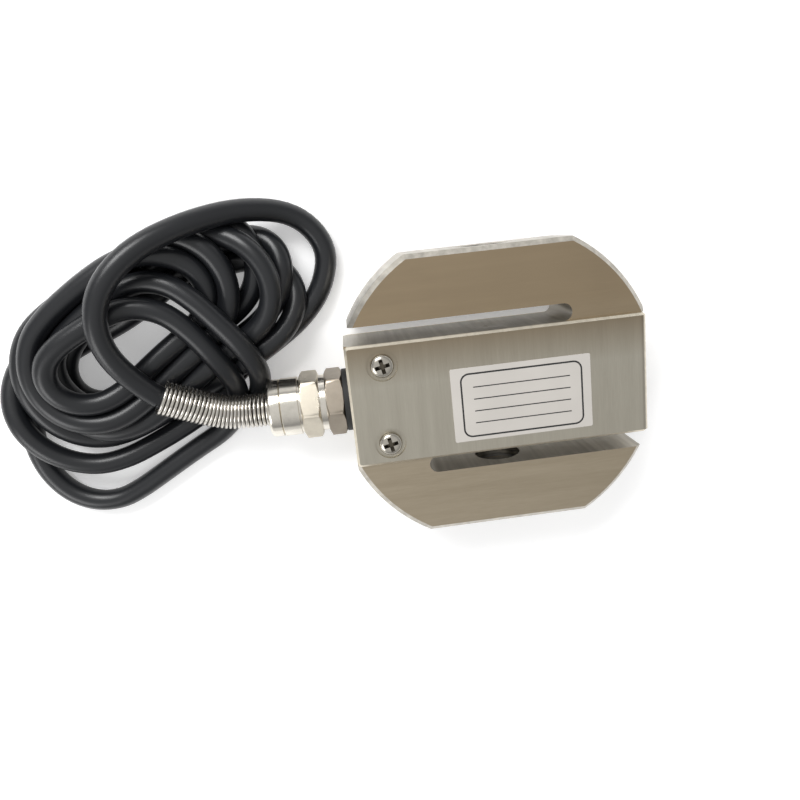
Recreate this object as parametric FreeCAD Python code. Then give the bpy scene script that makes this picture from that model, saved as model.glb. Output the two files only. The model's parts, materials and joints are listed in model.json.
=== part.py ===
"""S type load cell with a wrapped steel cover, a sprung cable gland and its cable laid in a hank.

Millimetres, +Z up. The cell lies on its rear cover face: the load axis is Y, the labelled front
faces +Z and the cable leaves towards -X. The origin is the centre of the rear cover face.
"""

import FreeCAD, Part
import math
import os

os.makedirs("parts", exist_ok=True)
V = FreeCAD.Vector

# ---- Driving dimensions: body ----
body_width = 64.0
body_height = 60.5
outline_radius = 35.0
body_thickness = 16.5
bar_height = 26.0
slot_height = 3.7
slot_reach = 16.5          # how far each slot runs past the load axis
limb_chamfer = 1.0
load_thread_radius = 5.1   # M12 tapped hole, wall radius
load_thread_mouth = 0.6
drill_mark_depth = 0.5

# ---- Gauge window through the bar ----
window_radius = 9.0
window_offset = 12.0       # from the load axis to the centre of each round end
window_neck = 10.0
potting_depth = 3.0
cable_passage_radius = 3.0

# ---- Cover ----
sheet = 1.5
cover_edge_bevel = 0.5
cover_bend_radius = 1.5
cover_corner_radius = 1.0
screw_inset = 7.5          # from the open end of the cover to the screw centres
screw_rise = 8.4           # from the cable's axis to the screw centres
screw_radius = 1.25
screw_depth = 5.0
screw_head_radius = 2.45
screw_head_height = 1.7
screw_seat_radius = 3.3
screw_seat_depth = 0.5
recess_width = 0.75
recess_length = 2.7
recess_depth = 1.1
thread_gap = 0.05
hole_gap = 0.15

# ---- Label ----
label_width = 30.0
label_height = 16.0
label_thickness = 0.15
label_x = 4.3
label_y = -2.1
label_corner = 0.4

# ---- Cable gland ----
gland_thread_radius = 5.0
gland_thread_length = 7.0
gland_flats = 13.0
gland_washer_radius = 6.9
gland_washer_thickness = 1.2
gland_hex_length = 3.9
gland_neck_radius = 6.2
gland_neck_length = 1.3
gland_spigot_length = 6.0
nut_hex_length = 4.2
nut_barrel_radius = 6.45
nut_barrel_length = 4.5
collar_radius = 6.35
collar_length = 2.7
collar_round = 0.9
collar_spigot_length = 1.8
collar_wall = 0.55
seal_length = 4.6
seal_radius = 4.1
slip_washer_thickness = 0.5
hex_corner_bevel = 0.45

# ---- Spring strain relief ----
wire = 0.9
spring_radius = 3.8
spring_gap = 0.05
spring_sides = 16          # flats round each coil
spring_bend_start = 4.0    # straight run past the collar
spring_bend_radius = 19.0
spring_bend_angle = 30.0
spring_bend_lean = 32.0    # turn of the bend's plane up from the floor
spring_end_run = 10.0

# ---- Cable ----
cable_radius = 2.4
cable_fit = 0.25           # radial room round the cable in the gland
jacket_start = 1.0         # from the window wall to the stripped end of the jacket
core_radius = 0.5
core_ring = 1.15           # radius on which the cores lie in the cable
core_pad_pitch = 1.8       # between the cores' pads on the terminal board
bare_core_radius = 0.3
bare_length = 4.0

# Free run of the cable from the spring's mouth over the hank and back into it.
lead_route = [
    (-78.4, 12.6, 16.8),
    (-80.9, 22.6, 19.6),
    (-77.5, 32.6, 20.6),
    (-69.3, 39.8, 18.8),
    (-57.5, 43.2, 11.5),
    (-46.8, 44.2, 4.6),
    (-36.6, 38.1, 2.4),
    (-32.3, 28.5, 2.4),
    (-34.0, 18.1, 2.4),
    (-41.0, 10.8, 2.4),
    (-51.3, 8.7, 2.4),
    (-61.0, 8.4, 2.4),
]
# Far end of the cable, from the hank to its stripped cores under the spring and gland.
tail_route = [
    (-60.4, 20.8, 2.4),
    (-58.9, 13.9, 2.4),
    (-56.6, 7.2, 2.4),
    (-53.2, 1.2, 2.4),
]
tail_core_bend = 3.8       # from the jacket's end to where the cores turn along the gland
tail_core_length = 10.0
tail_core_spread = 1.8

# ---- Hank of the coiled cable ----
hank_low_end = (-88.5, 2.0)
hank_low_radius = 21.5
hank_high_end = (-51.5, 23.5)
hank_high_radius = 13.0
hank_height = 12.0
hank_side_height = 5.0     # one layer of cable on the side that passes under the spring
hank_ramp = 0.28           # rise of the hank's top from that side
hank_bevel = 3.5

# ---- Electrical pieces ----
board_length = 8.0
board_width = 10.0
board_thickness = 0.8
gauge_thickness = 0.2
gauge_length = 5.0
gauge_width = 4.0
lead_wire_radius = 0.15
resistor_radius = 0.8
resistor_length = 3.2

# ---- Derived places ----
half_width = body_width / 2
half_height = body_height / 2
half_bar = bar_height / 2
slot_far = half_bar + slot_height
full_thickness = body_thickness + 2 * sheet
mid = full_thickness / 2
body_back = sheet
body_front = sheet + body_thickness
bar_end = half_width - sheet
screw_x = -half_width + screw_inset

washer_x = -half_width
gland_x = washer_x - gland_washer_thickness
neck_x = gland_x - gland_hex_length
nut_x = neck_x - gland_neck_length
barrel_x = nut_x - nut_hex_length
collar_x = barrel_x - nut_barrel_length
mouth_x = collar_x - collar_length
spigot_end = nut_x - gland_spigot_length
cable_bore = cable_radius + cable_fit
spring_bore = spring_radius - wire
collar_bore = spring_radius + spring_gap
collar_spigot_radius = collar_bore + collar_wall
collar_spigot_end = collar_x + collar_spigot_length
jacket_x = -window_offset - window_radius + jacket_start


def export(name, shape):
    """Write one piece as a STEP file and print its size."""
    if not shape.isValid():
        raise ValueError(name + " is not a valid solid")
    shape.exportStep("parts/" + name + ".step")
    print(f"{name}: {len(shape.Solids)} solid(s), {shape.Volume:.2f} mm3")


def block(x0, x1, y0, y1, z0, z1):
    """Box between two corners."""
    return Part.makeBox(x1 - x0, y1 - y0, z1 - z0, V(x0, y0, z0))


def rod_x(radius, x0, x1, y=0.0, z=mid):
    """Cylinder along X between two stations."""
    return Part.makeCylinder(radius, abs(x1 - x0), V(min(x0, x1), y, z), V(1, 0, 0))


def rod_z(radius, x, y, z0, z1):
    """Cylinder along Z between two heights."""
    return Part.makeCylinder(radius, z1 - z0, V(x, y, z0))


def turned_x(profile):
    """Solid of revolution about the gland's axis from (x, radius) points."""
    points = [V(x, 0, mid + r) for x, r in profile]
    face = Part.Face(Part.makePolygon(points + points[:1]))
    return face.revolve(V(0, 0, mid), V(1, 0, 0), 360)


def hex_x(flats, x0, x1, bevel):
    """Hexagonal prism along X with a flat to the front and both ends bevelled at the corners."""
    corner = flats / math.sqrt(3)
    angles = [math.radians(60 * k) for k in range(7)]
    ring = [V(x0, corner * math.cos(a), mid + corner * math.sin(a)) for a in angles]
    prism = Part.Face(Part.makePolygon(ring)).extrude(V(x1 - x0, 0, 0))
    step = math.copysign(bevel, x1 - x0)
    inner = corner - 1.7 * bevel
    drum = [(x0, 0), (x0, inner), (x0 + step, corner), (x1 - step, corner), (x1, inner), (x1, 0)]
    return prism.common(turned_x(drum))


def bent_path(points):
    """Straight runs joined by tangent arcs, each as large as its two runs allow."""
    points = [V(*p) for p in points]
    edges = []
    radii = []
    start = points[0]
    for before, corner, after in zip(points, points[1:], points[2:]):
        back = before - corner
        ahead = after - corner
        setback = 0.45 * min(back.Length, ahead.Length)
        turn = math.pi - back.getAngle(ahead)
        radii.append(setback / math.tan(turn / 2))
        back.normalize()
        ahead.normalize()
        first = corner + back * setback
        last = corner + ahead * setback
        inward = back + ahead
        inward.normalize()
        bulge = radii[-1] * (1 / math.cos(turn / 2) - 1)
        edges.append(Part.LineSegment(start, first).toShape())
        edges.append(Part.Arc(first, corner + inward * bulge, last).toShape())
        start = last
    edges.append(Part.LineSegment(start, points[-1]).toShape())
    return Part.Wire(edges), radii


def tube_along(wire_path, radius):
    """Round solid swept along a path of tangent edges."""
    edge = wire_path.Edges[0]
    direction = edge.tangentAt(edge.FirstParameter)
    ring = Part.Wire(Part.makeCircle(radius, edge.Vertexes[0].Point, direction))
    return wire_path.makePipe(Part.Face(ring))


def cord(name, points, radius):
    """Free tube of the cable: checks its volume and prints the radii of its bends."""
    path, radii = bent_path(points)
    tube = tube_along(path, radius)
    expected = math.pi * radius**2 * path.Length
    print(f"{name}: {path.Length:.1f} mm, volume ratio {tube.Volume / expected:.4f}, "
          f"radii {[round(r, 1) for r in radii]}")
    return tube


# ---- Spring axis ----
bend_out = V(0, math.cos(math.radians(spring_bend_lean)), math.sin(math.radians(spring_bend_lean)))
bend_from = V(mouth_x - spring_bend_start, 0, mid)


def spring_axis(distance):
    """Point and direction of the spring's axis at a distance past the start of its bend."""
    full = spring_bend_radius * math.radians(spring_bend_angle)
    angle = min(max(distance, 0.0), full) / spring_bend_radius
    direction = V(-math.cos(angle), 0, 0) + bend_out * math.sin(angle)
    point = bend_from + V(-spring_bend_radius * math.sin(angle), 0, 0)
    point += bend_out * (spring_bend_radius * (1 - math.cos(angle)))
    point += direction * (distance - angle * spring_bend_radius)
    return point, direction


spring_far = spring_bend_radius * math.radians(spring_bend_angle) + spring_end_run
spring_near = collar_spigot_end - bend_from.x
spring_mouth, spring_direction = spring_axis(spring_far)


def spring_path(start_x, end):
    """Wire along the spring's axis from a station on the straight part to a distance past it."""
    bend = spring_far - spring_end_run
    bend_mid = spring_axis(bend / 2)[0]
    bend_end = spring_axis(bend)[0]
    straight = Part.LineSegment(V(start_x, 0, mid), bend_from).toShape()
    arc = Part.Arc(bend_from, bend_mid, bend_end).toShape()
    last = Part.LineSegment(bend_end, spring_axis(end)[0]).toShape()
    return Part.Wire([straight, arc, last])


def window_prism(z0, z1):
    """Dumb-bell shaped gauge window between two heights."""
    left = rod_z(window_radius, -window_offset, 0, z0, z1)
    right = rod_z(window_radius, window_offset, 0, z0, z1)
    neck = block(-window_offset, window_offset, -window_neck / 2, window_neck / 2, z0, z1)
    return left.fuse([right, neck]).removeSplitter()


def s_beam():
    """One-piece S beam: two limbs on a centre bar, cut free by two opposed slots."""
    disc = Part.makeCylinder(outline_radius, body_thickness, V(0, 0, body_back))
    disc = disc.makeChamfer(limb_chamfer, [e for e in disc.Edges if len(e.Vertexes) == 1])
    flats = block(-half_width, half_width, -half_height, half_height, body_back, body_front)
    long_edges = [
        e for e in flats.Edges
        if abs(e.BoundBox.YLength) + abs(e.BoundBox.ZLength) < 1e-6
    ]
    body = disc.common(flats.makeChamfer(limb_chamfer, long_edges))
    body = body.fuse(block(-half_width, bar_end, -half_bar, half_bar, body_back, body_front))
    body = body.removeSplitter()
    reach = outline_radius + 1
    cuts = [block(bar_end, reach, -half_bar, half_bar, 0, full_thickness)]
    end_radius = slot_height / 2
    for side in (1, -1):
        end_x = side * (slot_reach - end_radius)
        low, high = sorted((side * half_bar, side * slot_far))
        left, right = sorted((end_x, -side * reach))
        cuts.append(block(left, right, low, high, 0, full_thickness))
        cuts.append(rod_z(end_radius, end_x, side * (half_bar + end_radius), 0, full_thickness))
        outward = V(0, side, 0)
        hole = Part.makeCylinder(load_thread_radius, reach, V(0, side * half_bar, mid), outward)
        mouth = Part.makeCone(load_thread_radius, load_thread_radius + load_thread_mouth,
                              load_thread_mouth,
                              V(0, side * (half_height - load_thread_mouth), mid), outward)
        mark = Part.makeCone(0, load_thread_radius, drill_mark_depth,
                             V(0, side * (half_bar - drill_mark_depth), mid), outward)
        cuts += [hole, mouth, mark]
        for face, inward in ((body_back, 1), (body_front, -1)):
            cuts.append(Part.makeCylinder(screw_radius, screw_depth + 1,
                                          V(screw_x, side * screw_rise, face), V(0, 0, inward)))
    cuts.append(window_prism(0, full_thickness))
    cuts.append(rod_x(gland_thread_radius, -reach, -half_width + gland_thread_length + 0.5))
    cuts.append(rod_x(cable_passage_radius, -half_width, -window_offset))
    return body.cut(cuts).removeSplitter()


def wrap_cover():
    """Sheet bent round the bar's closed end, with a leg over each face of the bar."""
    outer = block(-half_width, half_width, -half_bar, half_bar, 0, full_thickness)
    bend = [
        e for e in outer.Edges
        if e.BoundBox.XMin > half_width - 1e-6 and e.BoundBox.YLength > bar_height - 1e-6
    ]
    outer = outer.makeFillet(cover_bend_radius, bend)
    corners = [
        e for e in outer.Edges
        if e.BoundBox.XMax < -half_width + 1e-6 and e.BoundBox.ZLength > full_thickness - 1e-6
    ]
    outer = outer.makeFillet(cover_corner_radius, corners)
    flat_faces = [f for f in outer.Faces if f.BoundBox.ZLength < 1e-6]
    rims = [
        e for f in flat_faces for e in f.Edges
        if e.BoundBox.XMax < half_width - cover_bend_radius - 1e-3 or e.BoundBox.XLength > 1e-3
    ]
    outer = outer.makeChamfer(cover_edge_bevel, rims)
    inside = block(-half_width - 1, bar_end, -half_bar - 1, half_bar + 1, body_back, body_front)
    cuts = [inside]
    for side in (1, -1):
        y = side * screw_rise
        cuts.append(rod_z(screw_radius + hole_gap, screw_x, y, 0, full_thickness))
        cuts.append(sunk_head(y, 0))
        cuts.append(rod_z(screw_seat_radius, screw_x, y, full_thickness - screw_seat_depth,
                          full_thickness))
    return outer.cut(cuts).removeSplitter()


def cross_recess(top):
    """Tapered cross that is cut into a screw head whose top is at this height."""
    foot = 0.45 * recess_length / 2
    tip = recess_length / 2
    side = recess_width / 2
    wings = []
    for turn in (0, 90):
        wing = Part.makeWedge(-foot, 0, -side, -side, -tip, foot, recess_depth, side, side, tip)
        wing.rotate(V(0, 0, 0), V(1, 0, 0), 90)
        wing.rotate(V(0, 0, 0), V(0, 0, 1), turn)
        wing.translate(V(0, 0, top - recess_depth))
        wings.append(wing)
    return wings


def front_screw(y):
    """Pan head screw seated in the front leg of the cover and tapped into the bar."""
    shank = screw_radius - thread_gap
    length = screw_depth + sheet - screw_seat_depth
    crown = screw_head_height
    rise = [V(0, 0, -length), V(shank, 0, -length), V(shank, 0, 0), V(screw_head_radius, 0, 0),
            V(screw_head_radius, 0, 0.5 * crown)]
    shoulder = [V(0.85 * screw_head_radius, 0, 0.83 * crown), V(0.5 * screw_head_radius, 0, crown)]
    profile = rise + shoulder + [V(0, 0, crown), rise[0]]
    solid = Part.Face(Part.makePolygon(profile)).revolve(V(0, 0, 0), V(0, 0, 1), 360)
    solid = solid.cut(cross_recess(crown))
    solid.translate(V(screw_x, y, full_thickness - screw_seat_depth))
    return solid


def sunk_head(y, grow):
    """Cone of a countersunk head that is flush with the rear leg, grown all round."""
    depth = screw_head_radius - screw_radius
    return Part.makeCone(screw_head_radius + grow, screw_radius + grow, depth, V(screw_x, y, 0))


def rear_screw(y):
    """Countersunk screw that lies flush in the rear leg of the cover."""
    shank = rod_z(screw_radius - thread_gap, screw_x, y, 0, sheet + screw_depth)
    solid = shank.fuse(sunk_head(y, -thread_gap)).removeSplitter()
    cross = cross_recess(0)
    for wing in cross:
        wing.rotate(V(0, 0, 0), V(1, 0, 0), 180)
        wing.translate(V(screw_x, y, 0))
    return solid.cut(cross)


def label():
    """Blank adhesive label on the front leg of the cover."""
    plate = block(label_x - label_width / 2, label_x + label_width / 2,
                  label_y - label_height / 2, label_y + label_height / 2,
                  full_thickness, full_thickness + label_thickness)
    upright = [e for e in plate.Edges if e.BoundBox.ZLength > label_thickness / 2]
    return plate.makeFillet(label_corner, upright)


def gland_washer():
    """Rubber washer between the bar's end and the gland's first hexagon."""
    bore = gland_thread_radius + thread_gap
    return turned_x([(washer_x, bore), (washer_x, gland_washer_radius),
                     (gland_x, gland_washer_radius), (gland_x, bore)])


def gland_body():
    """Turned body: thread into the bar, hexagon, neck and the spigot that the nut screws on to."""
    thread = gland_thread_radius - thread_gap
    inner_end = -half_width + gland_thread_length
    core = turned_x([(inner_end, 0), (inner_end, thread), (neck_x, thread),
                     (neck_x, gland_neck_radius), (nut_x, gland_neck_radius), (nut_x, thread),
                     (spigot_end, thread), (spigot_end, 0)])
    body = core.fuse(hex_x(gland_flats, gland_x, neck_x, hex_corner_bevel))
    seat = rod_x(seal_radius, spigot_end - 1, spigot_end + seal_length)
    return body.cut([rod_x(cable_bore, spigot_end - 1, inner_end + 1), seat]).removeSplitter()


def clamp_nut():
    """Nut with a hexagon and a plain barrel that carries the spring's collar."""
    head = hex_x(gland_flats, nut_x, barrel_x, hex_corner_bevel)
    barrel = turned_x([(barrel_x, 0), (barrel_x, nut_barrel_radius),
                       (collar_x, nut_barrel_radius), (collar_x, 0)])
    nut = head.fuse(barrel)
    thread = rod_x(gland_thread_radius, nut_x + 1, spigot_end - 0.2)
    bore = rod_x(collar_spigot_radius + thread_gap, nut_x, collar_x - 1)
    return nut.cut([thread, bore]).removeSplitter()


def spring_collar():
    """Round end ring that holds the spring's first coils in the nut."""
    profile = [(collar_spigot_end, collar_bore), (collar_spigot_end, collar_spigot_radius),
               (collar_x, collar_spigot_radius), (collar_x, collar_radius)]
    rim = min(collar_round, 0.5 * collar_length)
    for angle in (0, 30, 60, 90):
        along = rim * (1 - math.sin(math.radians(angle)))
        inward = rim * (1 - math.cos(math.radians(angle)))
        profile.append((mouth_x + along, collar_radius - inward))
    return turned_x(profile + [(mouth_x, collar_bore)])


def gland_seal():
    """Rubber sleeve squeezed round the cable in the gland's seat."""
    outer = seal_radius - thread_gap
    return turned_x([(spigot_end + slip_washer_thickness, cable_radius),
                     (spigot_end + slip_washer_thickness, outer),
                     (spigot_end + seal_length, outer), (spigot_end + seal_length, cable_radius)])


def slip_washer():
    """Thin washer between the seal and the spring's collar."""
    outer = seal_radius - thread_gap
    return turned_x([(spigot_end, cable_bore), (spigot_end, outer),
                     (spigot_end + slip_washer_thickness, outer),
                     (spigot_end + slip_washer_thickness, cable_bore)])


def ring_of_flats(radius, centre, direction):
    """Closed polygon round an axis that leans no more than the spring's does."""
    across = direction.cross(V(0, 0, 1))
    across.normalize()
    upward = across.cross(direction)
    corners = []
    for side in range(spring_sides + 1):
        angle = 2 * math.pi * side / spring_sides
        corners.append(centre + (across * math.cos(angle) + upward * math.sin(angle)) * radius)
    return Part.makePolygon(corners)


def spring_sleeve():
    """Close-wound spring along the bent cable, one ridge for each coil."""
    coils = round((spring_near + spring_far) / wire)
    pitch = (spring_near + spring_far) / coils
    rings = []
    for step in range(2 * coils + 1):
        point, direction = spring_axis(step * pitch / 2 - spring_near)
        radius = spring_radius if step % 2 else spring_radius - 0.4 * wire
        rings.append(ring_of_flats(radius, point, direction))
    coil = Part.makeLoft(rings, True, True)
    over = 1.0
    path = spring_path(collar_spigot_end + over, spring_far + over)
    return coil.cut(tube_along(path, spring_bore))


def cable_inner():
    """Cable from the gauge window through the gland and the spring to the spring's mouth."""
    return tube_along(spring_path(jacket_x, spring_far), cable_radius)


def lead_points():
    """Points of the free run, from the spring's mouth on."""
    return [tuple(spring_mouth)] + lead_route


def above_ramp(low_corner, high_corner):
    """Room over the side of the hank that slopes down to one layer of cable."""
    side = high_corner - low_corner
    side.normalize()
    inward = V(-side.y, side.x, 0)
    start = low_corner - side * 3 * hank_low_radius
    reach = 3 * hank_low_radius
    corners = []
    for distance, height in ((-reach, hank_side_height - hank_ramp * reach),
                             (reach, hank_side_height + hank_ramp * reach),
                             (-reach, 3 * hank_height)):
        corners.append(start + inward * distance + V(0, 0, height))
    face = Part.Face(Part.makePolygon(corners + corners[:1]))
    return face.extrude(side * 9 * hank_low_radius)


def cable_hank():
    """Outer shape of the coiled cable."""
    (x0, y0), (x1, y1) = hank_low_end, hank_high_end
    slope = math.atan2(y1 - y0, x1 - x0)
    lean = math.acos((hank_low_radius - hank_high_radius) / math.hypot(x1 - x0, y1 - y0))
    corners = []
    for turn, (x, y), r in ((lean, hank_high_end, hank_high_radius),
                            (lean, hank_low_end, hank_low_radius),
                            (-lean, hank_low_end, hank_low_radius),
                            (-lean, hank_high_end, hank_high_radius)):
        corners.append(V(x + r * math.cos(slope + turn), y + r * math.sin(slope + turn), 0))
    axis = V(math.cos(slope), math.sin(slope), 0)
    low_back = V(x0, y0, 0) - axis * hank_low_radius
    high_tip = V(x1, y1, 0) + axis * hank_high_radius
    outline = Part.Wire([
        Part.LineSegment(corners[0], corners[1]).toShape(),
        Part.Arc(corners[1], low_back, corners[2]).toShape(),
        Part.LineSegment(corners[2], corners[3]).toShape(),
        Part.Arc(corners[3], high_tip, corners[0]).toShape(),
    ])
    solid = Part.Face(outline).extrude(V(0, 0, hank_height))
    top = [e for e in solid.Edges if e.BoundBox.ZMin > hank_height - 1e-6]
    solid = solid.makeChamfer(hank_bevel, top)
    return solid.cut(above_ramp(corners[2], corners[3])).removeSplitter()


def wire_run(points, radius):
    """Thin insulated wire along straight runs and arcs."""
    return tube_along(bent_path(points)[0], radius)


def strain_gauge(side, up):
    """Foil gauge bonded to the thin wall at the top or bottom of a window end."""
    x = side * window_offset
    wall = rod_z(window_radius, x, 0, mid - gauge_width / 2, mid + gauge_width / 2)
    hollow = rod_z(window_radius - gauge_thickness, x, 0, 0, full_thickness)
    low, high = sorted((0, up * (window_radius + 1)))
    patch = block(x - gauge_length / 2, x + gauge_length / 2, low, high, 0, full_thickness)
    return wall.cut(hollow).common(patch)


board_floor = -window_neck / 2
board_top = board_floor + board_thickness


def terminal_board():
    """Small circuit board bonded to the lower wall of the window's neck."""
    return block(-board_length / 2, board_length / 2, board_floor, board_top,
                 mid - board_width / 2, mid + board_width / 2)


def trim_resistors():
    """Two balance resistors on the terminal board."""
    pair = []
    for z in (mid - board_width / 4, mid + board_width / 4):
        body = rod_x(resistor_radius, 0.3, 0.3 + resistor_length, board_top + resistor_radius, z)
        rims = [e for e in body.Edges if len(e.Vertexes) == 1]
        pair.append(body.makeChamfer(0.3 * resistor_radius, rims))
    return Part.makeCompound(pair)


def gauge_leads():
    """A pair of fine wires drawn from each gauge to the edges of the terminal board."""
    wires = []
    for side in (-1, 1):
        for up in (-1, 1):
            for step in (-1, 1):
                gauge_y = up * (window_radius - gauge_thickness - 4 * lead_wire_radius)
                pad_z = mid + up * (0.38 * board_width + 2 * lead_wire_radius * step)
                start = V(side * (window_offset - 0.2 * gauge_length), gauge_y,
                          pad_z - up * 0.6 * gauge_width)
                end = V(side * (board_length / 2 - 0.2), board_top + 3 * lead_wire_radius, pad_z)
                wires.append(Part.makeCylinder(lead_wire_radius, (end - start).Length, start,
                                               end - start))
    return Part.makeCompound(wires)


def core_place(index):
    """Where one of the four cores lies in the cable's section, as (y, z) from its centre."""
    angle = math.radians(45 + 90 * index)
    return core_ring * math.cos(angle), core_ring * math.sin(angle)


def core_inside(index):
    """Insulated core from the stripped jacket to its pad on the terminal board."""
    across, up = core_place(index)
    pad_z = mid + (1.5 - index) * core_pad_pitch
    pad_x = -board_length / 2 + 2 * core_radius
    bend_x = jacket_x + 0.3 * (pad_x - jacket_x)
    return wire_run([
        (jacket_x - core_radius, across, mid + up),
        (bend_x, across, mid + 0.6 * up + 0.4 * (pad_z - mid)),
        (pad_x, board_top + core_radius, pad_z),
    ], core_radius)


def tail_core(index):
    """Points of one core from the cable's stripped end, laid on the floor along the gland."""
    end = V(*tail_route[-1])
    along = end - V(*tail_route[-2])
    along.normalize()
    aside = V(-along.y, along.x, 0)
    across, up = core_place(index)
    rank = math.copysign(1.5 if up > 0 else 0.5, across)
    start = end - along * core_radius + aside * across + V(0, 0, up)
    inside_bend = aside + V(0, 1, 0)
    inside_bend.normalize()
    landing = V(end.x, end.y, core_radius) + along * tail_core_bend
    landing += inside_bend * (rank * tail_core_spread)
    tip = landing + V(tail_core_length, 0.3 * rank * tail_core_spread, 0)
    return [tuple(p) for p in (start, landing, tip)]


def tail_core_sleeve(index):
    """Coloured insulation of one core at the cable's far end."""
    return wire_run(tail_core(index), core_radius)


def tail_strands():
    """Tinned bare ends of the four cores."""
    ends = []
    for index in range(4):
        before, tip = (V(*p) for p in tail_core(index)[-2:])
        direction = tip - before
        direction.normalize()
        ends.append(Part.makeCylinder(bare_core_radius, bare_length, tip, direction))
    return Part.makeCompound(ends)


def cover_screws():
    """The four screws with their names."""
    for place, side in (("upper", 1), ("lower", -1)):
        yield f"cover_screw_front_{place}", front_screw(side * screw_rise)
        yield f"cover_screw_rear_{place}", rear_screw(side * screw_rise)


def main():
    """Build and write every piece."""
    export("s_beam", s_beam())
    export("wrap_cover", wrap_cover())
    for name, screw in cover_screws():
        export(name, screw)
    export("label", label())
    for piece in (gland_washer, gland_body, clamp_nut, spring_collar, gland_seal, slip_washer,
                  spring_sleeve, terminal_board, trim_resistors, gauge_leads):
        export(piece.__name__, piece())
    export("potting_front", window_prism(body_front - potting_depth, body_front))
    export("potting_rear", window_prism(body_back, body_back + potting_depth))
    for side, across in ((-1, "left"), (1, "right")):
        for up, height in ((1, "upper"), (-1, "lower")):
            export(f"strain_gauge_{height}_{across}", strain_gauge(side, up))
    colours = ("red", "black", "green", "white")
    inner = cable_inner()
    hank = cable_hank()
    lead = cord("cable_lead", lead_points(), cable_radius)
    lead = lead.fuse(Part.makeSphere(cable_radius, spring_mouth)).cut([inner, hank])
    tail = cord("cable_tail", tail_route, cable_radius).cut(hank)
    for index, colour in enumerate(colours):
        export(f"core_{colour}", core_inside(index).cut(inner))
        export(f"tail_core_{colour}", tail_core_sleeve(index).cut(tail))
    export("tail_strands", tail_strands())
    export("cable_inner", inner)
    export("cable_lead", lead.removeSplitter())
    export("cable_tail", tail)
    export("cable_hank", hank)


main()
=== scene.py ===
"""Looks of the S type load cell: materials, wound spring, screws, label frame and the coiled cable.

Metres, in the CAD frame: the cell lies on its rear cover, +Z out of its labelled front.
"""

import json
import math

import bmesh
import bpy
import numpy as np
from mathutils import Matrix, Vector


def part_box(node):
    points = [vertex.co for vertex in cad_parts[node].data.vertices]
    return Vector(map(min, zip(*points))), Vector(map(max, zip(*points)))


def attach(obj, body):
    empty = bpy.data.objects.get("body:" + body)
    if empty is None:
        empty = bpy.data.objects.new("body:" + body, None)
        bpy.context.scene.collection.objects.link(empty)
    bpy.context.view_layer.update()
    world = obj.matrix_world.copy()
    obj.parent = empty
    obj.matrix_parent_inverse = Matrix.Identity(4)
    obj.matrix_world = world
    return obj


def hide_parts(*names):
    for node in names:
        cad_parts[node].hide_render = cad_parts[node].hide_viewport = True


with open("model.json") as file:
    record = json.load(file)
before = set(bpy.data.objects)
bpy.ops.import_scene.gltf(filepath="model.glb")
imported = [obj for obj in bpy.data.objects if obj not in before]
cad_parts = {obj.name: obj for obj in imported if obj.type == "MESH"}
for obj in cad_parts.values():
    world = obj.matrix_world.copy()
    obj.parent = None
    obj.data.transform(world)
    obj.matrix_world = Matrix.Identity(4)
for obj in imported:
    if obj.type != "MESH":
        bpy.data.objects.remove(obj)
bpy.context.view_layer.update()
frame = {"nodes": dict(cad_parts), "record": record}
MM = 0.001

# ---- Sizes taken from the frame ----
BEAM_LOW, BEAM_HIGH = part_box("s_beam")
COVER_LOW, COVER_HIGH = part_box("wrap_cover")
LABEL_LOW, LABEL_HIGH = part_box("label")
COLLAR_LOW, COLLAR_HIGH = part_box("spring_collar")
NUT_LOW, NUT_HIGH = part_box("clamp_nut")
WASHER_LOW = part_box("gland_washer")[0]
AXIS_Z = (COVER_LOW.z + COVER_HIGH.z) / 2
MOUTH_X = COLLAR_LOW.x

# ---- Sizes of the detail pieces ----
CABLE_R = 2.4 * MM
WIRE_R = 0.37 * MM
SPRING_R = 3.8 * MM
SPRING_COILS = 29
SPRING_INSIDE = 1.8 * MM  # how far into the end ring the spring starts
SPRING_BEND_START = 4.0 * MM
SPRING_BEND_R = 19.0 * MM
SPRING_BEND = math.radians(30)
SPRING_LEAN = math.radians(32)  # the way that the spring bends, from +Y towards +Z
SPRING_END_RUN = 10.0 * MM
GLAND_FLATS = 13.0 * MM
GLAND_HEX = 3.9 * MM
GLAND_BORE_R = 4.6 * MM
NECK_R = 6.2 * MM
NUT_HEX = 4.2 * MM
NUT_EDGE = 0.35 * MM      # bevel at the barrel's end
BARREL_R = 6.45 * MM
GROOVE_DEPTH = 0.3 * MM   # groove between the nut's hexagon and its barrel
GROOVE_WIDTH = 0.4 * MM
GROOVE_END = 0.5 * MM     # where the barrel has its full size again
HEX_TURN = math.radians(90 - 21)  # the way that one flat faces, from +Y towards +Z
HEX_UNDERCUT = 0.05 * MM  # how far the turned ends of a hexagon go below its flats
GLAND_STEPS = 240
COLLAR_PLAY = 0.05 * MM
COLLAR_RIM = 0.9 * MM
COLLAR_RING = 2.7 * MM
COLLAR_LIP = 1.8 * MM
COLLAR_LIP_WALL = 0.55 * MM
THREAD_PITCH = 1.75 * MM
THREAD_DEPTH = 12.9 * MM
THREAD_START = 0.2 * MM
THREAD_CREST_R = 4.72 * MM
THREAD_ROOT_R = 5.14 * MM
THREAD_BACK = 0.3 * MM    # how far the ridges reach into the wall behind them
SCREW_HEAD_R = 2.45 * MM
SCREW_HEAD_H = 1.7 * MM
SCREW_SHANK_R = 1.2 * MM
SCREW_RIM = 0.45          # upright share of the head's height, and flat share of its top
RECESS_DEPTH = 1.1 * MM
RECESS_HALF_WIDTH = 0.40 * MM
RECESS_ARMS = (0.78 * MM, 2.35 * MM)  # length of the cross's arms at its foot and above the head
RECESS_TURN = 12          # degrees
AXIS_R = 0.0002 * MM      # radius that stands for zero at the tips of a turned solid
FRAME_SIZE = (26.2 * MM, 14.0 * MM)
FRAME_CORNER_R = 1.9 * MM
FRAME_LINE = 0.36 * MM
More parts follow.
